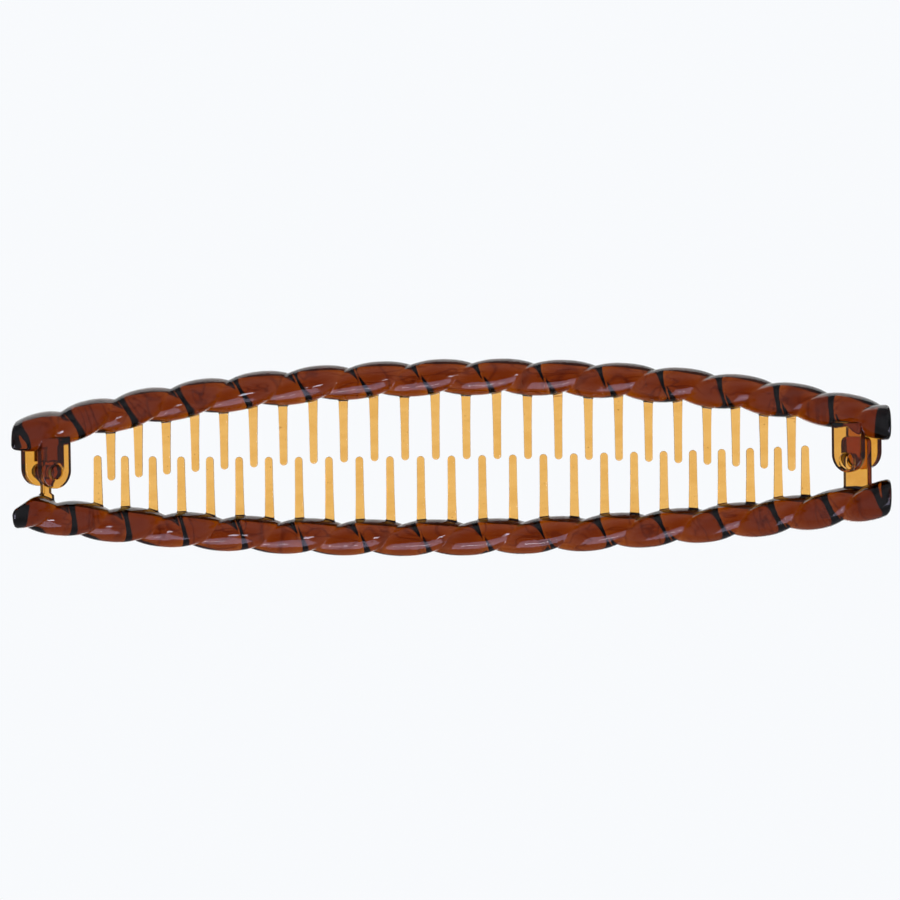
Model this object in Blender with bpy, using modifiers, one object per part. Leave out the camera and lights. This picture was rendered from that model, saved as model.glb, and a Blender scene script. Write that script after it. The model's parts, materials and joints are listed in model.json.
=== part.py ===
"""Interlocking banana hair clip: two bowed combs with twisted-rope rims, a hinge and a snap latch.

Units are metres. +Z is up, the clip lies on its convex side with both ends rising. The hinge is
at -X, the latch at +X, the upper comb on the +Y side and the lower comb on the -Y side.

The clip follows a circular arch. phi is the angle along that arch from its lowest point. At each
phi the local axes are the tangent, world +Y and the normal, which points into the hollow.
"""

from math import atan2, cos, pi, radians, sin, sqrt

import bmesh
import bpy
from mathutils import Matrix, Vector

MM = 0.001

# Arch and rope rims
ARCH_RADIUS = 109.0 * MM  # to the rope axes
HALF_LENGTH = 75.8 * MM  # both ropes are cut off upright at this X
SWEEP_PHI = radians(48.5)  # how far the ropes are swept before that cut
MID_HALF_GAP = 14.3 * MM  # rope axis to the middle plane at phi 0
GAP_FALL = 13.6 * MM  # times phi squared, how far the rope axes close in
ROPE_RADIUS = 3.3 * MM
GROOVE_DEPTH = 0.95 * MM
TOOTH_PITCH = radians(2.88)
ROPE_PITCH = 2 * TOOTH_PITCH  # one left-handed turn of the groove
UPPER_GROOVE_PHI = radians(2.07)  # where the groove faces straight out on the upper rim
LOWER_GROOVE_PHI = radians(-1.84)  # and on the lower rim
ROPE_SIDES = 14
STEPS_PER_TURN = 8
UPPER_LEAN = 0.55 * MM  # times phi, how far the upper rope leans out toward the latch
RELIEF_X = -72.0 * MM  # past here the hinge ends are shaved on their inner sides, to let them swing
UPPER_RELIEF_Y = 3.3 * MM
UPPER_RELIEF_SLOPE = radians(15)
LOWER_RELIEF_Y = 3.75 * MM
LOWER_RELIEF_SLOPE = radians(33)

# Teeth
UPPER_TEETH = 24
LOWER_TEETH = 25
TOOTH_THICKNESS = 1.1 * MM
TIP_WIDTH = 1.4 * MM
ROOT_WIDTH = 1.7 * MM
ROOT_FLARE = 4.5 * MM  # length over which a tooth widens to its root
SHAFT_TAPER = 1.06  # width of a tooth where that starts, as a share of its tip width
TIP_PAST_MIDDLE = 0.36 * MM  # how far a tip passes the middle plane at phi 0
TIP_GROWTH = 5.5 * MM  # times phi squared, how much further tips pass near the ends
TIP_SIDES = 6

# Hinge and latch
LUG_PHI = radians(40.3)
FRONT_EAR_OFFSET = 2.6 * MM  # middle of an ear from the arch, along the normal
BACK_EAR_OFFSET = -2.25 * MM
EAR_THICKNESS = 1.5 * MM
EAR_WIDTH = 6.4 * MM
HINGE_EAR_REACH = 2.85 * MM  # below the pin axis
LATCH_EAR_REACH = 1.95 * MM
BACK_EAR_SHORTER = 0.3 * MM
EAR_TOP_GAP = 0.6 * MM  # the ear stops this far short of the rope axis
ROUND_SIDES = 24
WEB_MIDDLE = 0.45 * MM  # along the arch from the pin axis
WEB_WIDTH = 3.4 * MM
WEB_CLEARANCE = 0.12 * MM  # above the eye
PIN_RADIUS = 1.15 * MM
PIN_HOLE_RADIUS = 1.25 * MM
PIN_ENDS = (-3.0 * MM, 3.35 * MM)  # flush with the outer faces of the ears
EYE_HOLE_RADIUS = 1.21 * MM
EYE_RADIUS = 2.0 * MM
POST_WIDTH = 1.55 * MM
POST_FOOT_WIDTH = 2.8 * MM
POST_FOOT_HEIGHT = 0.55 * MM  # above the rope
POST_FLARE = 0.45 * MM
POST_THICKNESS = 1.45 * MM
TONGUE_WIDTH = 5.3 * MM
TONGUE_THICKNESS = 1.45 * MM
TONGUE_TOP = 4.2 * MM
TONGUE_CORNER = 1.2 * MM
STUD_HOLE_RADIUS = 1.5 * MM
STUD_RADIUS = 1.3 * MM
STUD_HEIGHT = 0.8 * MM
STUD_BEVEL = 0.3 * MM

GAP = 0.1 * MM  # between sub-parts of one moulding
ARC_STEPS = 12
CUTTER_LENGTH = 26.0 * MM  # of the cylinder that clears the lugs from the rope
CUTTER_BOX = 54.0 * MM  # edge of the box that shaves a rope end

COLOURS = {
    "rope_amber": (0.23, 0.035, 0.008, 1.0),
    "tooth_amber": (0.85, 0.42, 0.09, 1.0),
    "lug_amber": (0.62, 0.22, 0.03, 1.0),
    "pin_amber": (0.30, 0.06, 0.01, 1.0),
}


def half_gap(phi, side):
    """Distance from the middle plane to a rope axis, for the upper (1) or lower (-1) rope."""
    lean = UPPER_LEAN if side > 0 else 0.0
    return MID_HALF_GAP - GAP_FALL * phi * phi + lean * phi


def on_arch(phi, y=0.0, normal=0.0):
    """World position at phi, y across and a height above the arch along the normal."""
    radius = ARCH_RADIUS - normal
    return radius * sin(phi), y, ROPE_RADIUS + ARCH_RADIUS - radius * cos(phi)


def groove_angle(phi, side):
    """Where the rope's groove faces: 0 is +Y, a quarter turn is the normal."""
    if side > 0:
        return -2 * pi * (phi - UPPER_GROOVE_PHI) / ROPE_PITCH
    return pi - 2 * pi * (phi - LOWER_GROOVE_PHI) / ROPE_PITCH


def rope_surface(angle):
    """Distance from the rope's axis to its surface, at an angle from the groove."""
    wrapped = (angle + pi) % (2 * pi) - pi
    return ROPE_RADIUS - GROOVE_DEPTH * (1 - abs(wrapped) / pi) ** 2


def inner_edge(phi, side, half_width):
    """Distance from the middle plane at which a root of that half width meets the rope."""
    facing_in = pi if side > 0 else 0.0
    reach = half_width / ARCH_RADIUS
    bulge = max(rope_surface(facing_in - groove_angle(phi + d, side)) for d in (-reach, 0.0, reach))
    nearest = min(half_gap(phi - reach, side), half_gap(phi + reach, side))
    return nearest - bulge - GAP


def new_collection(name):
    collection = bpy.data.collections.new(name)
    bpy.context.scene.collection.children.link(collection)
    return collection


def material(name):
    existing = bpy.data.materials.get(name)
    if existing:
        return existing
    made = bpy.data.materials.new(name)
    made.use_nodes = True
    shader = made.node_tree.nodes["Principled BSDF"]
    shader.inputs["Base Color"].default_value = COLOURS[name]
    shader.inputs["Roughness"].default_value = 0.12
    shader.inputs["Metallic"].default_value = 0.0
    made.diffuse_color = COLOURS[name]
    return made


def add_object(name, data, collection, material_name, body):
    """Link a named object, give it a material and hang it on its body's empty."""
    made = bpy.data.objects.new(name, data)
    collection.objects.link(made)
    if material_name:
        made.data.materials.append(material(material_name))
    if body:
        made.parent = body
        made.matrix_parent_inverse = body.matrix_basis.inverted()
    return made


def place(made, phi, y=0.0, normal=0.0):
    """Put an object on the arch: local X is the tangent, Y is world Y and Z is the normal."""
    made.location = on_arch(phi, y, normal)
    made.rotation_euler = (0.0, -phi, 0.0)


def flat_curve(name, outlines, thickness):
    """A flat 2D curve of closed outlines, extruded to a thickness about its own plane."""
    curve = bpy.data.curves.new(name, "CURVE")
    curve.dimensions = "2D"
    curve.fill_mode = "BOTH"
    curve.extrude = thickness / 2
    for outline in outlines:
        spline = curve.splines.new("POLY")
        spline.points.add(len(outline) - 1)
        for point, (x, y) in zip(spline.points, outline):
            point.co = (x, y, 0.0, 1.0)
        spline.use_cyclic_u = True
    return curve


def arc(centre_x, centre_y, radius, start, stop, steps):
    """Points on an arc, both ends included."""
    turn = (stop - start) / steps
    angles = [start + turn * i for i in range(steps + 1)]
    return [(centre_x + radius * cos(a), centre_y + radius * sin(a)) for a in angles]


def circle(radius):
    """A round hole's outline. The same sides as the pin, so both keep their clearance."""
    return arc(0.0, 0.0, radius, 0.0, 2 * pi * (1 - 1 / ROUND_SIDES), ROUND_SIDES - 1)


def to_mesh(curve_object):
    """Turn a curve object into a mesh object with welded caps, in the same place."""
    evaluated = curve_object.evaluated_get(bpy.context.evaluated_depsgraph_get())
    mesh = bpy.data.meshes.new_from_object(evaluated)
    shape = bmesh.new()
    shape.from_mesh(mesh)
    bmesh.ops.remove_doubles(shape, verts=shape.verts, dist=0.001 * MM)
    bmesh.ops.recalc_face_normals(shape, faces=shape.faces)
    shape.to_mesh(mesh)
    shape.free()
    name = curve_object.name
    made = bpy.data.objects.new(name, mesh)
    curve_object.users_collection[0].objects.link(made)
    made.parent = curve_object.parent
    made.matrix_parent_inverse = curve_object.matrix_parent_inverse
    made.matrix_basis = curve_object.matrix_basis
    bpy.data.objects.remove(curve_object)
    made.name = name
    return made


def use_cutter(target, cutter, operation):
    """Cut a mesh object with a Boolean modifier."""
    modifier = target.modifiers.new("cut_" + cutter.name, "BOOLEAN")
    modifier.operation = operation
    modifier.solver = "EXACT"
    modifier.object = cutter


def keep_as_cutter(made, name, collection):
    """Name an object and keep it out of sight among the cutters."""
    made.name = name
    for owner in made.users_collection:
        owner.objects.unlink(made)
    collection.objects.link(made)
    made.hide_render = True
    made.display_type = "WIRE"
    return made


def rope_profile(cutters):
    """The rope's section as a flat curve. Its groove is on local -X."""
    outline = []
    for i in range(ROPE_SIDES):
        angle = 2 * pi * i / ROPE_SIDES
        radius = rope_surface(angle)
        outline.append((-radius * cos(angle), radius * sin(angle)))
    curve = flat_curve("rope_profile", [outline], 0.0)
    profile = add_object("rope_profile", curve, cutters, None, None)
    return keep_as_cutter(profile, "rope_profile", cutters)


def length_trim(cutters):
    """A box as long as the clip, which leaves upright faces on the rope ends."""
    tall = 2 * ARCH_RADIUS
    bpy.ops.mesh.primitive_cube_add(size=1.0)
    box = bpy.context.object
    box.data.transform(Matrix.Diagonal((2 * HALF_LENGTH, tall, tall, 1.0)))
    return keep_as_cutter(box, "length_trim", cutters)


def rope_slope(phi, side):
    """How far the rope moves along +Y for each step along the arch."""
    lean = UPPER_LEAN if side > 0 else 0.0
    return side * (lean - 2 * GAP_FALL * phi) / ARCH_RADIUS


def level_turn(phi, side):
    """The turn about the rope's run from its level direction to world +Y."""
    run = Vector((cos(phi), rope_slope(phi, side), sin(phi))).normalized()
    level = Vector((0.0, 0.0, 1.0)).cross(run).normalized()
    across = Vector((0.0, 1.0, 0.0))
    across -= across.dot(run) * run
    return atan2(run.dot(level.cross(across)), level.dot(across))


def hinge_relief(name, side, offset, slope, cutters):
    """A box that shaves one rope's inner side, more and more toward the hinge end."""
    bpy.ops.mesh.primitive_cube_add(size=CUTTER_BOX)
    box = bpy.context.object
    box.data.transform(Matrix.Translation((0.0, -side * CUTTER_BOX / 2, 0.0)))
    box.location = on_arch(-LUG_PHI)
    box.location.x = RELIEF_X
    box.location.y = side * offset
    box.rotation_euler.z = -side * slope
    return keep_as_cutter(box, name, cutters)


def rope_rail(name, side, profile, trims, collection, body):
    """A twisted rope: the grooved section swept along the arch, turning, then cut to length."""
    curve = bpy.data.curves.new(name, "CURVE")
    curve.dimensions = "3D"
    curve.twist_mode = "Z_UP"
    curve.bevel_mode = "OBJECT"
    curve.bevel_object = profile
    curve.use_fill_caps = True
    spline = curve.splines.new("POLY")
    steps = round(2 * SWEEP_PHI / ROPE_PITCH * STEPS_PER_TURN)
    spline.points.add(steps)
    for i, point in enumerate(spline.points):
        phi = SWEEP_PHI * (2 * i / steps - 1)
        x, y, z = on_arch(phi, side * half_gap(phi, side))
        point.co = (x, y, z, 1.0)
        point.tilt = groove_angle(phi, side) + level_turn(phi, side)
    made = to_mesh(add_object(name, curve, collection, "rope_amber", body))
    for cutter, operation in trims:
        use_cutter(made, cutter, operation)


def tooth(name, phi, side, collection, body):
    """A flat, level tooth with a round tip that points across the clip from one rope."""
    tip = TIP_PAST_MIDDLE + TIP_GROWTH * phi * phi
    root = inner_edge(phi, side, ROOT_WIDTH / 2)
    tip_radius = TIP_WIDTH / 2
    top = root - ROOT_FLARE
    outline = [(ROOT_WIDTH / 2, root), (tip_radius * SHAFT_TAPER, top)]
    outline += [(x, -y) for x, y in arc(0.0, tip - tip_radius, tip_radius, 0.0, pi, TIP_SIDES)]
    outline += [(-tip_radius * SHAFT_TAPER, top), (-ROOT_WIDTH / 2, root)]
    outline = [(side * x, side * y) for x, y in outline]
    curve = flat_curve(name, [outline], TOOTH_THICKNESS)
    made = add_object(name, curve, collection, "tooth_amber", body)
    made.location = on_arch(phi)


def teeth(prefix, count, side, collection, body):
    for i in range(count):
        phi = (i - (count - 1) / 2) * TOOTH_PITCH
        tooth(f"{prefix}_tooth_{i + 1:02d}", phi, side, collection, body)


def rope_clearance(name, phi, side, collection):
    """A cylinder a little wider than the rope, along its run at phi."""
    bpy.ops.mesh.primitive_cylinder_add(
        vertices=2 * ROUND_SIDES,
        radius=ROPE_RADIUS + GAP,
        depth=CUTTER_LENGTH,
    )
    cutter = bpy.context.object
    turn = Matrix.Rotation(-phi, 4, "Y") @ Matrix.Rotation(atan2(rope_slope(phi, side), 1.0), 4, "Z")
    turn = turn @ Matrix.Rotation(pi / 2, 4, "Y")
    cutter.matrix_basis = Matrix.Translation(on_arch(phi, side * half_gap(phi, side))) @ turn
    return keep_as_cutter(cutter, name, collection)


def ear(name, phi, normal, reach, hole_radius, clearance, collection, body):
    """One cheek of a clevis: a U-shaped plate hung from the upper rope, often with a round hole."""
    radius = EAR_WIDTH / 2
    top = half_gap(phi, 1) - EAR_TOP_GAP
    outline = [(radius, top), (-radius, top)] + arc(0.0, radius - reach, radius, pi, 2 * pi, ARC_STEPS)
    outlines = [outline, circle(hole_radius)] if hole_radius else [outline]
    curve = flat_curve(name, outlines, EAR_THICKNESS)
    made = add_object(name, curve, collection, "lug_amber", body)
    place(made, phi, 0.0, normal)
    use_cutter(to_mesh(made), clearance, "DIFFERENCE")


def clevis(end, phi, reach, hole_radii, cutters, collection, body):
    """A front and a back ear at one end of the upper comb, and what clears them from the rope."""
    clearance = rope_clearance(f"upper_{end}_clearance", phi, 1, cutters)
    front_hole, back_hole = hole_radii
    ear(f"{end}_ear_front", phi, FRONT_EAR_OFFSET, reach, front_hole, clearance, collection, body)
    back_reach = reach - BACK_EAR_SHORTER
    ear(f"{end}_ear_back", phi, BACK_EAR_OFFSET, back_reach, back_hole, clearance, collection, body)
    return clearance


def hinge_web(collection, body, clearance):
    """The block that joins the hinge ears above the eye."""
    back = BACK_EAR_OFFSET + EAR_THICKNESS / 2 + GAP
    front = FRONT_EAR_OFFSET - EAR_THICKNESS / 2 - GAP
    left = WEB_MIDDLE - WEB_WIDTH / 2
    right = WEB_MIDDLE + WEB_WIDTH / 2
    seat = EYE_RADIUS + WEB_CLEARANCE
    top = half_gap(-LUG_PHI, 1) - EAR_TOP_GAP
    outline = [(left, seat), (right, seat), (right, top), (left, top)]
    curve = flat_curve("hinge_web", [outline], front - back)
    made = add_object("hinge_web", curve, collection, "lug_amber", body)
    place(made, -LUG_PHI, 0.0, (front + back) / 2)
    use_cutter(to_mesh(made), clearance, "DIFFERENCE")


def hinge_post(collection, body, clearance):
    """The lower comb's post: a flared foot on the rope, a narrow neck and a round eye."""
    foot = half_gap(-LUG_PHI, -1) - ROPE_RADIUS / 2
    neck_angle = atan2(POST_WIDTH / 2, sqrt(EYE_RADIUS**2 - (POST_WIDTH / 2) ** 2))
    flare_top = half_gap(-LUG_PHI, -1) - ROPE_RADIUS - POST_FOOT_HEIGHT
    start = -pi / 2 + neck_angle
    outline = arc(0.0, 0.0, EYE_RADIUS, start, start + 2 * (pi - neck_angle), 2 * ARC_STEPS)
    flare_foot = flare_top + POST_FLARE
    outline += [(-POST_WIDTH / 2, -flare_top), (-POST_FOOT_WIDTH / 2, -flare_foot)]
    outline += [(-POST_FOOT_WIDTH / 2, -foot), (POST_FOOT_WIDTH / 2, -foot)]
    outline += [(POST_FOOT_WIDTH / 2, -flare_foot), (POST_WIDTH / 2, -flare_top)]
    curve = flat_curve("hinge_post", [outline, circle(EYE_HOLE_RADIUS)], POST_THICKNESS)
    made = add_object("hinge_post", curve, collection, "lug_amber", body)
    place(made, -LUG_PHI)
    use_cutter(to_mesh(made), clearance, "DIFFERENCE")


def round_peg(name, phi, radius, bottom, top, bevel, collection, body):
    """A round peg along the normal, between two heights above the arch."""
    bpy.ops.mesh.primitive_cylinder_add(vertices=ROUND_SIDES, radius=radius, depth=top - bottom)
    peg = bpy.context.object
    peg.name = name
    peg.data.name = name
    peg.data.materials.append(material("pin_amber"))
    for owner in peg.users_collection:
        owner.objects.unlink(peg)
    collection.objects.link(peg)
    peg.parent = body
    peg.matrix_parent_inverse = body.matrix_basis.inverted()
    place(peg, phi, 0.0, (bottom + top) / 2)
    peg.data.shade_smooth()
    peg.data.set_sharp_from_angle(angle=radians(40))
    rim = peg.modifiers.new("rim", "BEVEL")
    rim.width = bevel
    rim.segments = 2
    rim.limit_method = "ANGLE"
    rim.angle_limit = radians(60)


def latch_tongue(collection, body, clearance):
    """The lower comb's tongue, which slides up between the latch ears."""
    half = TONGUE_WIDTH / 2
    foot = half_gap(LUG_PHI, -1) - ROPE_RADIUS / 2
    corner = TONGUE_TOP - TONGUE_CORNER
    outline = [(-half, -foot), (half, -foot)]
    outline += arc(half - TONGUE_CORNER, corner, TONGUE_CORNER, 0.0, pi / 2, ARC_STEPS // 3)
    outline += arc(TONGUE_CORNER - half, corner, TONGUE_CORNER, pi / 2, pi, ARC_STEPS // 3)
    curve = flat_curve("latch_tongue", [outline], TONGUE_THICKNESS)
    made = add_object("latch_tongue", curve, collection, "lug_amber", body)
    place(made, LUG_PHI)
    use_cutter(to_mesh(made), clearance, "DIFFERENCE")


def upper_comb(parts, cutters, profile, trim):
    """The comb with the clevises at both ends. It is the clip's fixed half."""
    body = add_object("upper_comb", None, parts, None, None)
    relief = hinge_relief("upper_hinge_relief", 1, UPPER_RELIEF_Y, UPPER_RELIEF_SLOPE, cutters)
    trims = ((trim, "INTERSECT"), (relief, "DIFFERENCE"))
    rope_rail("upper_rope_rail", 1, profile, trims, parts, body)
    teeth("upper", UPPER_TEETH, 1, parts, body)
    pin_holes = (PIN_HOLE_RADIUS, PIN_HOLE_RADIUS)
    clearance = clevis("hinge", -LUG_PHI, HINGE_EAR_REACH, pin_holes, cutters, parts, body)
    hinge_web(parts, body, clearance)
    stud_holes = (STUD_HOLE_RADIUS, None)
    clevis("latch", LUG_PHI, LATCH_EAR_REACH, stud_holes, cutters, parts, body)


def lower_comb(parts, cutters, profile, trim):
    """The comb that swings: its empty stands on the hinge pin's axis."""
    body = add_object("lower_comb", None, parts, None, None)
    place(body, -LUG_PHI)
    relief = hinge_relief("lower_hinge_relief", -1, LOWER_RELIEF_Y, LOWER_RELIEF_SLOPE, cutters)
    trims = ((trim, "INTERSECT"), (relief, "DIFFERENCE"))
    rope_rail("lower_rope_rail", -1, profile, trims, parts, body)
    teeth("lower", LOWER_TEETH, -1, parts, body)
    hinge_post(parts, body, rope_clearance("lower_hinge_clearance", -LUG_PHI, -1, cutters))
    round_peg("hinge_pin", -LUG_PHI, PIN_RADIUS, *PIN_ENDS, STUD_BEVEL / 2, parts, body)
    latch_tongue(parts, body, rope_clearance("lower_latch_clearance", LUG_PHI, -1, cutters))
    base = TONGUE_THICKNESS / 2 + GAP / 2
    round_peg("latch_stud", LUG_PHI, STUD_RADIUS, base, base + STUD_HEIGHT, STUD_BEVEL, parts, body)


def main():
    for old in list(bpy.data.objects):
        bpy.data.objects.remove(old)
    parts = new_collection("banana_hair_clip")
    cutters = new_collection("banana_hair_clip_cutters")
    profile = rope_profile(cutters)
    trim = length_trim(cutters)
    upper_comb(parts, cutters, profile, trim)
    lower_comb(parts, cutters, profile, trim)
    bpy.context.view_layer.update()


main()
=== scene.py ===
"""Looks for the interlocking banana hair clip: each comb is one moulding of clear amber plastic.

Each moulding is a distance field in millimetres: a twisted rope, its teeth and its lugs, joined
with small fillets. A grid of cells along the field's surface gives the mesh, whose points are then
moved onto the surface exactly, with the field's own normals.
"""
import json
from itertools import product
from math import cos, pi, radians, sin

import bpy
import numpy as np
from mathutils import Matrix, Vector


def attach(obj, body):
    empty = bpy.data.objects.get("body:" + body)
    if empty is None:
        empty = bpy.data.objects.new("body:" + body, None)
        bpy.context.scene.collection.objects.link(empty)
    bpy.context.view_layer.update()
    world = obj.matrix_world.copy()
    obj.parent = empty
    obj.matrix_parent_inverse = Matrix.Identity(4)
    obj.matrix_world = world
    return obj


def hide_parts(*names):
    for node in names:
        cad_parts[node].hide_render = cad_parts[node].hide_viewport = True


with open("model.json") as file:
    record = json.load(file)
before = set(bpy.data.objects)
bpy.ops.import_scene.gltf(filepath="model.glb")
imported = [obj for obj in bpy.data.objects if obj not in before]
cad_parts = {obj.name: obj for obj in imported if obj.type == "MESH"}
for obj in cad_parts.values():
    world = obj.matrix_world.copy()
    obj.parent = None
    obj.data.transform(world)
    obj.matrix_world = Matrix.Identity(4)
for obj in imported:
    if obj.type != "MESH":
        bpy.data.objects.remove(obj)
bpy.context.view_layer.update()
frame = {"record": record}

MM = 0.001

# The clip's shape, in millimetres and radians. x, y and z follow the frame. On the arch, phi is
# the angle from its lowest point, t runs along it and n along its normal, into the hollow. Side 1
# is the upper comb and -1 the lower.
ARCH_RADIUS = 109.0
HALF_LENGTH = 75.8
MID_HALF_GAP = 14.3  # from the clip's middle line to a rope's axis, where phi is 0
GAP_FALL = 13.6  # how fast that gap falls toward the ends
LEAN = {1: 0.55, -1: 0.0}

# Ropes
ROPE_RADIUS = 3.3
GROOVE_SOFTNESS = 0.05  # radians
SIDE_GROOVE = (0.92, 2.3)  # depth, and how sharply it is cut
TOP_GROOVE = (0.92, 2.8)
UNDER_GROOVE = (1.2, 4.4)
UNDER_SHIFT = {1: 1.0, -1: -0.65}  # how far along the underside grooves are out of step
TOOTH_PITCH = radians(2.88)
ROPE_PITCH = 2 * TOOTH_PITCH
GROOVE_PHI = {1: radians(2.07), -1: radians(-1.84)}
END_ROUNDING = 0.7

# The shaved inner sides at the hinge end: planes through this x, this far from the middle line
# there, and with this slope
RELIEF_X = -72.0
RELIEF = {1: (3.3, radians(15)), -1: (3.75, radians(33))}
RELIEF_ROUNDING = 0.8

# Teeth
TEETH = {1: 24, -1: 25}
TOOTH_THICKNESS = 1.1
TOOTH_ROUNDING = 0.28
TIP_RADIUS = 0.7
TIP_PAST_MIDDLE = 0.36
TIP_GROWTH = 5.5  # how much further the teeth reach past the middle toward the ends
SHAFT_TAPER = 0.04
ROOT_HALF_WIDTH = 0.85
ROOT_FLARE = 4.5
FLARE_CAP = 1.4  # a root goes on widening a little inside its rope
ROOT_DEPTH = 2.0  # how far a root runs into its rope

# Ears, and the web between the hinge ears
LUG_PHI = radians(40.3)
EAR_OFFSETS = ((2.6, 0.0), (-2.25, 0.3))  # along the normal, and how much shorter the ear is
EAR_THICKNESS = 1.5
EAR_HALF_WIDTH = 3.2
EAR_ROUNDING = 0.3
EAR_TOP_GAP = 1.2  # from the rope's axis
HINGE_EAR_REACH = 2.85
LATCH_EAR_REACH = 1.95
HINGE_HOLES = (1.22, 1.22)  # radii, front and back
LATCH_HOLES = (1.5, 0.0)
HOLE_ROUNDING = 0.1
WEB_MIDDLE = 0.45
WEB_HALF_WIDTH = 1.7
WEB_HEIGHTS = (-1.6, 1.95)  # a little into each ear
WEB_SEAT_RADIUS = 2.12
WEB_ROUNDING = 0.15

# Hinge post and its pin
EYE_RADIUS = 2.0
EYE_FILLET = 0.4
POST_HALF_WIDTH = 0.78
POST_FOOT_HALF_WIDTH = 1.4
POST_FOOT_TOP = -3.72
POST_FLARE = 0.45
POST_THICKNESS = 1.45
POST_ROUNDING = 0.2
POST_ROOT_GAP = 0.65  # from the rope's axis
PIN_RADIUS = 1.15
PIN_ENDS = (-3.0, 3.35)

# Latch tongue and its stud
TONGUE_HALF_WIDTH = 2.65
TONGUE_THICKNESS = 1.45
TONGUE_TOP = 4.2
TONGUE_CORNER = 1.2
TONGUE_ROUNDING = 0.25
TONGUE_ROOT_GAP = 1.0  # from the rope's axis
STUD_RADIUS = 1.3
STUD_TOP = 1.575
STUD_BEVEL = 0.3

# Fillets where the features join
TOOTH_FILLET = 0.22
WEB_FILLET = 0.2
LUG_FILLET = 0.25

# The grid that finds the surface
VOXEL = 0.2
COMB_BOX = {
    1: ((-77.0, -4.5, -1.0), (77.0, 19.0, 40.0)),
    -1: ((-77.0, -19.0, -1.0), (77.0, 4.5, 40.0)),
}
BLOCK = 8  # cells along each side of a block
BLOCK_REACH = 0.9 * 1.35  # over half a block's diagonal, with room for a steep field
BATCH = 400  # blocks at a time, to save memory
SLOPE_STEP = 0.01
SURFACE_STEPS = 3
LONGEST_STEP = 0.5  # of a cell
FAR = 1e3

# Plastic. Its marks are noise: the scales are per metre, and the tints multiply its base colour.
REFRACTIVE_INDEX = 1.49
AMBER = (0.81, 0.65, 0.06, 1.0)
AMBER_DENSITY = 1700.0
PALE_TINT = (1.0, 0.76, 0.63, 1.0)
STREAK_TINT = (0.94, 0.68, 0.5, 1.0)
SPECK_TINT = (0.45, 0.3, 0.2, 1.0)
LINE_TINT = (0.5, 0.36, 0.3, 1.0)
STREAK_SCALES = (150.0, 420.0, 420.0)
LINE_SCALES = (45.0, 330.0, 330.0)
SCUFF_SCALES = (900.0, 2600.0, 900.0)
SPECK_SCALE = 2100.0
RIPPLE_SCALE = 260.0
SHINE = 0.06  # roughness where it is clean
DULLNESS = 0.14  # and in a scuff
RIPPLE = 60e-6  # metres
GRAIN = 3e-6  # metres

# Light: the lamps' power is in watts
FLOOR_COLOUR = (0.94, 0.957, 0.98, 1.0)
FLOOR_HALF_SIZE = 0.6
FLOOR_DROP = 0.0004
TABLE_COLOUR = (0.99, 1.0, 1.0, 1.0)
TABLE_GLOW = 1.28
TABLE_HALF_SIZE = (0.25, 0.41)
TABLE_Y = 0.2
TABLE_DROP = 0.3
WINDOW = 8.0
TUBE = 1.0
LAMP = 0.8
SKY_LEVELS = ((0.15, 0.4), (0.45, 0.45), (0.75, 0.25), (0.9, 0.13))  # share upward, brightness

# Camera: just off straight down, a metre above its aim
LENS = 227.46
SENSOR = 36.0
CAMERA_AIM = (-0.00022, 0.00207, 0.0165)
CAMERA_TILT = radians(-3.23)
CAMERA_TURN = radians(-0.8)
CAMERA_DISTANCE = 1.0


def round_max(a, b, radius):
    """Intersection of two fields, with its outer edge rounded."""
    over = np.hypot(np.maximum(a + radius, 0), np.maximum(b + radius, 0))
    return np.minimum(np.maximum(a, b), -radius) + over


def round_min(a, b, radius):
    """Union of two fields, with a fillet where they meet."""
    under = np.hypot(np.maximum(radius - a, 0), np.maximum(radius - b, 0))
    return np.maximum(np.minimum(a, b), radius) - under


def half_gap(phi, side):
    return MID_HALF_GAP - GAP_FALL * phi * phi + LEAN[side] * phi


def rope_field(x, y, z, side):
    height = ROPE_RADIUS + ARCH_RADIUS - z
    phi = np.arctan2(x, height)
    normal = ARCH_RADIUS - np.hypot(x, height)
    slope = (LEAN[side] - 2 * GAP_FALL * phi) / ARCH_RADIUS
    out = side * y - half_gap(phi, side)
    foot = phi + out * slope / (1 + slope * slope) / ARCH_RADIUS
    across = side * out / np.sqrt(1 + slope * slope)
    around = np.arctan2(normal, across)
    lift = normal / np.maximum(np.hypot(normal, across), 1e-6)
    share = lift * lift
    foot = foot + np.where(lift < 0, UNDER_SHIFT[side] / ARCH_RADIUS * share, 0.0)
    groove = -2 * pi * (foot - GROOVE_PHI[side]) / ROPE_PITCH
    if side < 0:
        groove += pi
    turn = (around - groove + pi) % (2 * pi) - pi
    turn = np.sqrt(turn * turn + GROOVE_SOFTNESS**2)
    depth, power = [
        a + (np.where(lift < 0, b, c) - a) * share
        for a, b, c in zip(SIDE_GROOVE, UNDER_GROOVE, TOP_GROOVE)
    ]
    radius = ROPE_RADIUS - depth * (1 - np.minimum(turn / pi, 1)) ** power
    field = np.hypot(normal, across) - radius
    offset, angle = RELIEF[side]
    relief = (RELIEF_X - x) * sin(angle) - (side * y - offset) * cos(angle)
    field = round_max(field, relief, RELIEF_ROUNDING)
    return round_max(field, np.abs(x) - HALF_LENGTH, END_ROUNDING)


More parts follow.
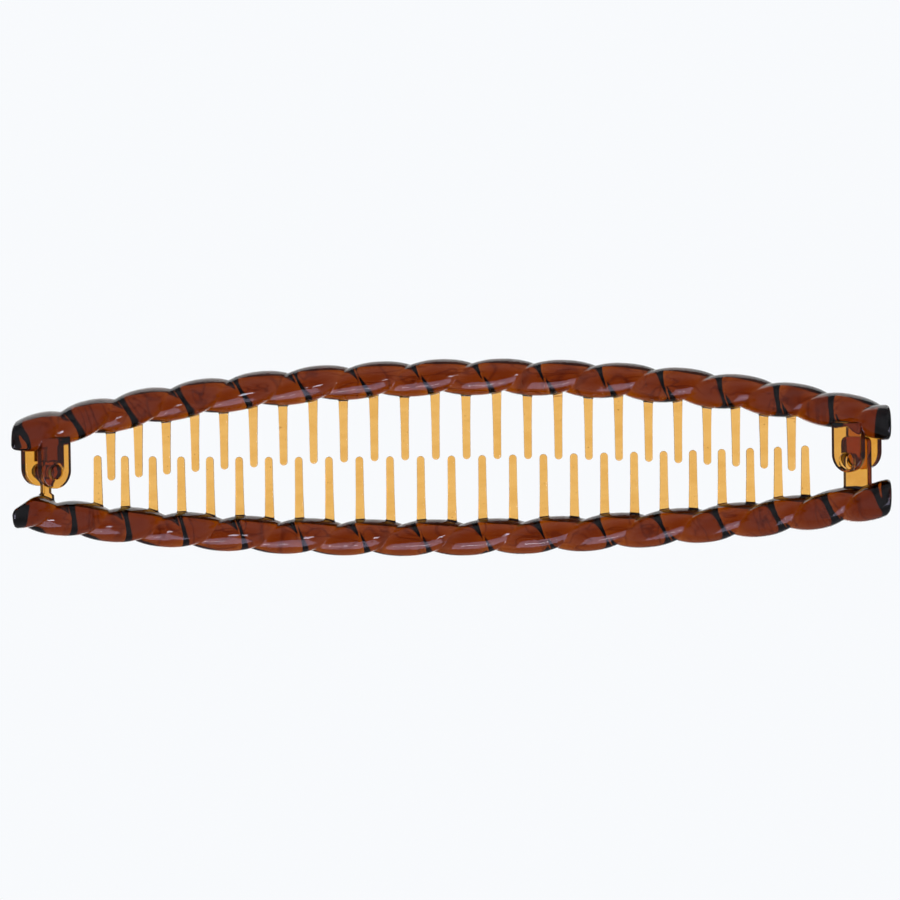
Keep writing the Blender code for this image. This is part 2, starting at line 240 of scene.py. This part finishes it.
def teeth_field(x, y, z, side):
    count = TEETH[side]
    phis = (np.arange(count) - (count - 1) / 2) * TOOTH_PITCH
    stations = ARCH_RADIUS * np.sin(phis)
    nearest = np.clip(np.searchsorted((stations[1:] + stations[:-1]) / 2, x), 0, count - 1)
    phi = phis[nearest]
    along = x - stations[nearest]
    level = z - (ROPE_RADIUS + ARCH_RADIUS * (1 - np.cos(phi)))
    out = side * y
    tip = TIP_RADIUS - TIP_PAST_MIDDLE - TIP_GROWTH * phi * phi
    root = half_gap(phi, side) - ROPE_RADIUS
    flare = np.clip((out - root) / ROOT_FLARE + 1, 0, FLARE_CAP)
    shaft = SHAFT_TAPER * np.clip((out - tip) / (root - ROOT_FLARE - tip), 0, 1)
    width = TIP_RADIUS + shaft + (ROOT_HALF_WIDTH - TIP_RADIUS - SHAFT_TAPER) * flare
    outline = np.where(out < tip, np.hypot(along, out - tip) - TIP_RADIUS, np.abs(along) - width)
    outline = np.maximum(outline, out - root - ROOT_DEPTH)
    return round_max(outline, np.abs(level) - TOOTH_THICKNESS / 2, TOOTH_ROUNDING)


def lug_frame(x, z, phi):
    """Distances along the arch and along its normal from the lug's place on it."""
    dx = x - ARCH_RADIUS * sin(phi)
    dz = z - ROPE_RADIUS - ARCH_RADIUS * (1 - cos(phi))
    return dx * cos(phi) + dz * sin(phi), dz * cos(phi) - dx * sin(phi)


def plate(outline, height, middle, thickness, rim):
    return round_max(outline, np.abs(height - middle) - thickness / 2, rim)


def ears_field(x, y, z, phi, reach, holes):
    t, n = lug_frame(x, z, phi)
    field = np.full_like(t, FAR)
    top = half_gap(phi, 1) - EAR_TOP_GAP
    for (offset, shorter), hole in zip(EAR_OFFSETS, holes):
        middle = EAR_HALF_WIDTH - reach + shorter
        sides = np.abs(t) - EAR_HALF_WIDTH
        outline = np.where(y > middle, sides, np.hypot(t, y - middle) - EAR_HALF_WIDTH)
        outline = np.maximum(outline, y - top)
        ear = plate(outline, n, offset, EAR_THICKNESS, EAR_ROUNDING)
        ear = round_max(ear, hole - np.hypot(t, y), HOLE_ROUNDING)
        field = np.minimum(field, ear)
    return field


def web_field(x, y, z):
    """The web between the hinge ears, with a round seat above the eye."""
    t, n = lug_frame(x, z, -LUG_PHI)
    outline = np.abs(t - WEB_MIDDLE) - WEB_HALF_WIDTH
    outline = np.maximum(outline, np.maximum(-y, y - half_gap(-LUG_PHI, 1) + EAR_TOP_GAP))
    outline = round_max(outline, WEB_SEAT_RADIUS - np.hypot(t, y), WEB_ROUNDING)
    return np.maximum(outline, np.maximum(WEB_HEIGHTS[0] - n, n - WEB_HEIGHTS[1]))


def post_field(x, y, z):
    t, n = lug_frame(x, z, -LUG_PHI)
    foot = POST_ROOT_GAP - half_gap(-LUG_PHI, -1)
    eye = np.hypot(t, y) - EYE_RADIUS
    share = np.clip((POST_FOOT_TOP - y) / POST_FLARE, 0, 1)
    half = POST_HALF_WIDTH + (POST_FOOT_HALF_WIDTH - POST_HALF_WIDTH) * share
    neck = np.maximum(np.maximum(np.abs(t) - half, y), foot - y)
    outline = round_min(eye, neck, EYE_FILLET)
    field = plate(outline, n, 0.0, POST_THICKNESS, POST_ROUNDING)
    pin = round_max(np.hypot(t, y) - PIN_RADIUS, PIN_ENDS[0] - n, POST_ROUNDING)
    pin = round_max(pin, n - PIN_ENDS[1], POST_ROUNDING)
    return np.minimum(field, pin)


def tongue_field(x, y, z):
    t, n = lug_frame(x, z, LUG_PHI)
    foot = TONGUE_ROOT_GAP - half_gap(LUG_PHI, -1)
    outline = round_max(np.abs(t) - TONGUE_HALF_WIDTH, y - TONGUE_TOP, TONGUE_CORNER)
    outline = np.maximum(outline, foot - y)
    field = plate(outline, n, 0.0, TONGUE_THICKNESS, TONGUE_ROUNDING)
    stud = round_max(np.hypot(t, y) - STUD_RADIUS, n - STUD_TOP, STUD_BEVEL)
    return np.minimum(field, np.maximum(stud, -n))


def comb_field(points, side):
    """The comb's distance field, in millimetres, at points in millimetres."""
    x, y, z = points[:, 0], points[:, 1], points[:, 2]
    field = round_min(rope_field(x, y, z, side), teeth_field(x, y, z, side), TOOTH_FILLET)
    if side > 0:
        ears = ears_field(x, y, z, -LUG_PHI, HINGE_EAR_REACH, HINGE_HOLES)
        latch = ears_field(x, y, z, LUG_PHI, LATCH_EAR_REACH, LATCH_HOLES)
        lugs = np.minimum(round_min(ears, web_field(x, y, z), WEB_FILLET), latch)
    else:
        lugs = np.minimum(post_field(x, y, z), tongue_field(x, y, z))
    return round_min(field, lugs, LUG_FILLET)


def lattice(counts):
    """Every whole-number point of a box, one a row."""
    steps = [np.arange(count) for count in counts]
    return np.stack(np.meshgrid(*steps, indexing="ij"), -1).reshape(-1, 3)


def near_surface(side, low, cells):
    """Which blocks of cells may hold surface."""
    grid = lattice(cells // BLOCK)
    middles = low + (grid + 0.5) * BLOCK * VOXEL
    return grid[np.abs(comb_field(middles, side)) < BLOCK * VOXEL * BLOCK_REACH]


def surface_mesh(side, low, high):
    """Vertices and four-sided faces along the comb's surface."""
    cells = np.ceil((high - low) / VOXEL).astype(int)
    cells = -(-cells // BLOCK) * BLOCK
    values = np.full(cells + 1, np.inf, np.float32)
    local = lattice((BLOCK + 1,) * 3)
    blocks = near_surface(side, low, cells)
    for start in range(0, len(blocks), BATCH):
        index = (blocks[start:start + BATCH, None, :] * BLOCK + local[None]).reshape(-1, 3)
        found = comb_field(low + index * VOXEL, side)
        values[index[:, 0], index[:, 1], index[:, 2]] = found
    known = np.isfinite(values)
    inside = known & (values < 0)
    cell_id = np.full(cells, -1, np.int32)
    all_known = np.ones(cells, bool)
    some_in = np.zeros(cells, bool)
    some_out = np.zeros(cells, bool)
    for i, j, k in product((0, 1), repeat=3):
        view = (slice(i, cells[0] + i), slice(j, cells[1] + j), slice(k, cells[2] + k))
        all_known &= known[view]
        some_in |= inside[view]
        some_out |= ~inside[view]
    active = np.argwhere(all_known & some_in & some_out)
    cell_id[active[:, 0], active[:, 1], active[:, 2]] = np.arange(len(active))
    verts = crossing_means(values, active) * VOXEL + low
    faces = [axis_faces(inside, known, cell_id, axis) for axis in range(3)]
    return verts, np.concatenate(faces)


def crossing_means(values, active):
    """The mean of the points where each cell's edges cross the surface, in whole cells."""
    total = np.zeros((len(active), 3))
    count = np.zeros(len(active))
    for axis in range(3):
        others = [a for a in range(3) if a != axis]
        for i, j in product((0, 1), repeat=2):
            start = active.copy()
            start[:, others[0]] += i
            start[:, others[1]] += j
            stop = start.copy()
            stop[:, axis] += 1
            a = values[start[:, 0], start[:, 1], start[:, 2]]
            b = values[stop[:, 0], stop[:, 1], stop[:, 2]]
            cross = (a < 0) != (b < 0)
            share = np.where(cross, a / np.where(cross, a - b, 1.0), 0.0)
            point = start.astype(float)
            point[:, axis] += share
            total += np.where(cross[:, None], point, 0.0)
            count += cross
    return total / count[:, None]


def axis_faces(inside, known, cell_id, axis):
    """One face round each grid edge along an axis that crosses the surface."""
    shape = np.array(cell_id.shape)
    a_view = [slice(1, s) for s in shape]
    b_view = [slice(1, s) for s in shape]
    a_view[axis] = slice(0, shape[axis])
    b_view[axis] = slice(1, shape[axis] + 1)
    a_view, b_view = tuple(a_view), tuple(b_view)
    cross = (inside[a_view] != inside[b_view]) & known[a_view] & known[b_view]
    where = np.argwhere(cross)
    first, second = [a for a in range(3) if a != axis]
    where[:, first] += 1
    where[:, second] += 1
    rising = inside[where[:, 0], where[:, 1], where[:, 2]]
    ring = []
    for di, dj in ((-1, -1), (0, -1), (0, 0), (-1, 0)):
        cell = where.copy()
        cell[:, first] += di
        cell[:, second] += dj
        ring.append(cell_id[cell[:, 0], cell[:, 1], cell[:, 2]])
    quads = np.stack(ring, 1)
    flip = rising if axis == 1 else ~rising
    quads[flip] = quads[flip][:, ::-1]
    return quads[(quads >= 0).all(1)]


def gradient(points, side):
    slopes = []
    for axis in range(3):
        shift = np.zeros(3)
        shift[axis] = SLOPE_STEP
        ahead = comb_field(points + shift, side)
        behind = comb_field(points - shift, side)
        slopes.append((ahead - behind) / (2 * SLOPE_STEP))
    return np.stack(slopes, 1)


def onto_surface(points, side):
    """Move points onto the surface, and return them with the surface's normals."""
    for _ in range(SURFACE_STEPS):
        slope = gradient(points, side)
        value = comb_field(points, side)
        length = np.maximum((slope**2).sum(1), 0.25)
        move = -slope * (value / length)[:, None]
        reach = np.linalg.norm(move, axis=1)
        cap = np.minimum(1, LONGEST_STEP * VOXEL / np.maximum(reach, 1e-9))
        points = points + move * cap[:, None]
    slope = gradient(points, side)
    return points, slope / np.maximum(np.linalg.norm(slope, axis=1), 1e-9)[:, None]


def comb_mesh(name, side):
    """The fused moulding as a mesh object."""
    low, high = np.array(COMB_BOX[side])
    verts, faces = surface_mesh(side, low, high)
    verts, normals = onto_surface(verts, side)
    mesh = bpy.data.meshes.new(name)
    mesh.vertices.add(len(verts))
    mesh.vertices.foreach_set("co", (verts * MM).astype(np.float32).ravel())
    mesh.loops.add(faces.size)
    mesh.loops.foreach_set("vertex_index", faces.astype(np.int32).ravel())
    mesh.polygons.add(len(faces))
    mesh.polygons.foreach_set("loop_start", np.arange(0, faces.size, 4, dtype=np.int32))
    mesh.polygons.foreach_set("use_smooth", np.ones(len(faces), bool))
    mesh.update(calc_edges=True)
    mesh.validate()
    mesh.normals_split_custom_set_from_vertices(normals.astype(np.float32))
    made = bpy.data.objects.new(name, mesh)
    bpy.context.scene.collection.objects.link(made)
    return made


def noise(nt, where, scale, detail):
    made = nt.nodes.new("ShaderNodeTexNoise")
    made.inputs["Scale"].default_value = scale
    made.inputs["Detail"].default_value = detail
    nt.links.new(where, made.inputs["Vector"])
    return made.outputs["Fac"]


def ramp(nt, value, low, high):
    """A colour ramp from one (position, colour) to another."""
    made = nt.nodes.new("ShaderNodeValToRGB")
    for stop, (position, colour) in zip(made.color_ramp.elements, (low, high)):
        stop.position = position
        stop.color = colour
    nt.links.new(value, made.inputs["Fac"])
    return made.outputs["Color"]


def grey(value):
    return (value, value, value, 1.0)


def stretched(nt, where, scale):
    made = nt.nodes.new("ShaderNodeMapping")
    made.inputs["Scale"].default_value = scale
    nt.links.new(where, made.inputs["Vector"])
    return made.outputs["Vector"]


def blend(nt, kind, first, second):
    made = nt.nodes.new("ShaderNodeMix")
    made.data_type = "RGBA"
    made.blend_type = kind
    made.inputs["Factor"].default_value = 1.0
    nt.links.new(first, made.inputs["A"])
    nt.links.new(second, made.inputs["B"])
    return made.outputs["Result"]


def bump(nt, height, distance, below):
    """A bump on top of another bump, with its height in metres."""
    made = nt.nodes.new("ShaderNodeBump")
    made.inputs["Strength"].default_value = 1.0
    made.inputs["Distance"].default_value = distance
    nt.links.new(height, made.inputs["Height"])
    if below:
        nt.links.new(below, made.inputs["Normal"])
    return made.outputs["Normal"]


def calculate(nt, operation, *values):
    """A Math node on sockets and plain numbers."""
    made = nt.nodes.new("ShaderNodeMath")
    made.operation = operation
    for socket, value in zip(made.inputs, values):
        if isinstance(value, float):
            socket.default_value = value
        else:
            nt.links.new(value, socket)
    return made.outputs["Value"]


def flow_lines(nt, where):
    """Thin wavy lines along the ropes, and none on the teeth between them."""
    split = nt.nodes.new("ShaderNodeSeparateXYZ")
    nt.links.new(where, split.inputs["Vector"])
    across = calculate(nt, "ABSOLUTE", split.outputs["Y"])
    square = calculate(nt, "MULTIPLY", split.outputs["X"], split.outputs["X"])
    outward = calculate(nt, "MULTIPLY_ADD", square, GAP_FALL / ARCH_RADIUS**2 / MM, across)
    teeth = calculate(nt, "LESS_THAN", outward, (MID_HALF_GAP - ROPE_RADIUS) * MM)
    waves = noise(nt, stretched(nt, where, LINE_SCALES), 1.0, 2.0)
    beside = calculate(nt, "ABSOLUTE", calculate(nt, "SUBTRACT", waves, 0.5))
    apart = calculate(nt, "ADD", beside, teeth)
    return ramp(nt, apart, (0.003, LINE_TINT), (0.02, grey(1.0)))


def amber_plastic():
    """Clear plastic with faint flow streaks and lines, specks, mould ripple and a few scuffs."""
    made = bpy.data.materials.new("clear_amber_plastic")
    made.use_nodes = True
    nt = made.node_tree
    shader = nt.nodes["Principled BSDF"]
    shader.inputs["Transmission Weight"].default_value = 1.0
    shader.inputs["IOR"].default_value = REFRACTIVE_INDEX
    where = nt.nodes.new("ShaderNodeTexCoord").outputs["Object"]
    streaks = noise(nt, stretched(nt, where, STREAK_SCALES), 1.0, 3.0)
    tint = ramp(nt, streaks, (0.36, STREAK_TINT), (0.56, PALE_TINT))
    grains = noise(nt, where, SPECK_SCALE, 1.0)
    specks = ramp(nt, grains, (0.215, SPECK_TINT), (0.245, grey(1.0)))
    marks = blend(nt, "MULTIPLY", specks, flow_lines(nt, where))
    nt.links.new(blend(nt, "MULTIPLY", tint, marks), shader.inputs["Base Color"])
    scuffs = noise(nt, stretched(nt, where, SCUFF_SCALES), 1.0, 4.0)
    dull = ramp(nt, scuffs, (0.5, grey(SHINE)), (0.72, grey(DULLNESS)))
    nt.links.new(dull, shader.inputs["Roughness"])
    ripple = bump(nt, noise(nt, where, RIPPLE_SCALE, 2.0), RIPPLE, None)
    fine = bump(nt, scuffs, GRAIN, ripple)
    nt.links.new(fine, shader.inputs["Normal"])
    volume = nt.nodes.new("ShaderNodeVolumeAbsorption")
    volume.inputs["Color"].default_value = AMBER
    volume.inputs["Density"].default_value = AMBER_DENSITY
    nt.links.new(volume.outputs["Volume"], nt.nodes["Material Output"].inputs["Volume"])
    return made


def build_combs():
    plastic = amber_plastic()
    for side, body in ((1, "upper_comb"), (-1, "lower_comb")):
        made = comb_mesh(body + "_moulding", side)
        made.data.materials.append(plastic)
        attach(made, body)
        members = frame["record"]["behaviour"]["bodies"][body]
        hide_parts(*members)


def emission(name, colour, strength):
    made = bpy.data.materials.new(name)
    made.use_nodes = True
    nt = made.node_tree
    nt.nodes.clear()
    out = nt.nodes.new("ShaderNodeOutputMaterial")
    glow = nt.nodes.new("ShaderNodeEmission")
    glow.inputs["Color"].default_value = colour
    glow.inputs["Strength"].default_value = strength
    nt.links.new(glow.outputs["Emission"], out.inputs["Surface"])
    return made


def plane(name, half_x, half_y, z, material):
    mesh = bpy.data.meshes.new(name)
    ring = ((-1, -1), (1, -1), (1, 1), (-1, 1))
    mesh.from_pydata([(i * half_x, j * half_y, z) for i, j in ring], [], [(0, 1, 2, 3)])
    mesh.materials.append(material)
    made = bpy.data.objects.new(name, mesh)
    bpy.context.scene.collection.objects.link(made)
    return made


def build_floor():
    """A floor that only the camera sees, and the light table that lights the clip from below."""
    pale = emission("pale_floor", FLOOR_COLOUR, 1.0)
    seen = plane("floor", FLOOR_HALF_SIZE, FLOOR_HALF_SIZE, -FLOOR_DROP, pale)
    for kind in ("diffuse", "glossy", "transmission", "volume_scatter", "shadow"):
        setattr(seen, "visible_" + kind, False)
    light = emission("table_light", TABLE_COLOUR, TABLE_GLOW)
    glow = plane("light_table", *TABLE_HALF_SIZE, -TABLE_DROP, light)
    glow.location.y = TABLE_Y
    glow.visible_camera = False


def area_light(name, place, size, power, colour):
    """A rectangle of light that faces the clip."""
    data = bpy.data.lights.new(name, "AREA")
    data.shape = "RECTANGLE"
    data.size, data.size_y = size
    data.energy = power
    data.color = colour
    lamp = bpy.data.objects.new(name, data)
    bpy.context.scene.collection.objects.link(lamp)
    lamp.location = place
    toward = Vector((0.0, 0.0, 0.0)) - Vector(place)
    lamp.rotation_euler = toward.to_track_quat("-Z", "Y").to_euler()


def sky():
    """A soft ceiling light that fades into darker sides."""
    world = bpy.data.worlds.new("world")
    bpy.context.scene.world = world
    world.use_nodes = True
    nt = world.node_tree
    where = nt.nodes.new("ShaderNodeTexCoord")
    split = nt.nodes.new("ShaderNodeSeparateXYZ")
    fade = nt.nodes.new("ShaderNodeValToRGB")
    nt.links.new(where.outputs["Generated"], split.inputs["Vector"])
    nt.links.new(split.outputs["Z"], fade.inputs["Fac"])
    nt.links.new(fade.outputs["Color"], nt.nodes["Background"].inputs["Color"])
    stops = fade.color_ramp.elements
    stops[0].position, stops[0].color = 0.0, (0.2, 0.2, 0.22, 1.0)
    stops[1].position, stops[1].color = 1.0, (0.09, 0.09, 0.11, 1.0)
    for position, level in SKY_LEVELS:
        stop = stops.new(position)
        stop.color = (level * 0.9, level * 0.9, level, 1.0)
    nt.nodes["Background"].inputs["Strength"].default_value = 1.0


def build_lights():
    sky()
    area_light("window", (0.1, -0.82, 0.7), (1.2, 0.95), WINDOW, (0.74, 0.7, 1.0))
    area_light("tube", (0.0, -0.78, 0.66), (0.6, 0.04), TUBE, (0.85, 0.88, 1.0))
    area_light("lamp", (0.45, -0.14, 0.72), (0.14, 0.14), LAMP, (0.8, 0.82, 1.0))


def build_camera():
    data = bpy.data.cameras.new("camera")
    data.lens = LENS
    data.sensor_width = SENSOR
    camera = bpy.data.objects.new("camera", data)
    bpy.context.scene.collection.objects.link(camera)
    turn = Matrix.Rotation(CAMERA_TILT, 4, "X") @ Matrix.Rotation(CAMERA_TURN, 4, "Z")
    away = Matrix.Translation((0.0, 0.0, CAMERA_DISTANCE))
    camera.matrix_world = Matrix.Translation(CAMERA_AIM) @ turn @ away
    data.clip_end = 20.0
    bpy.context.scene.camera = camera
    bpy.context.scene.view_settings.view_transform = "Standard"


build_camera()
build_floor()
build_lights()
build_combs()
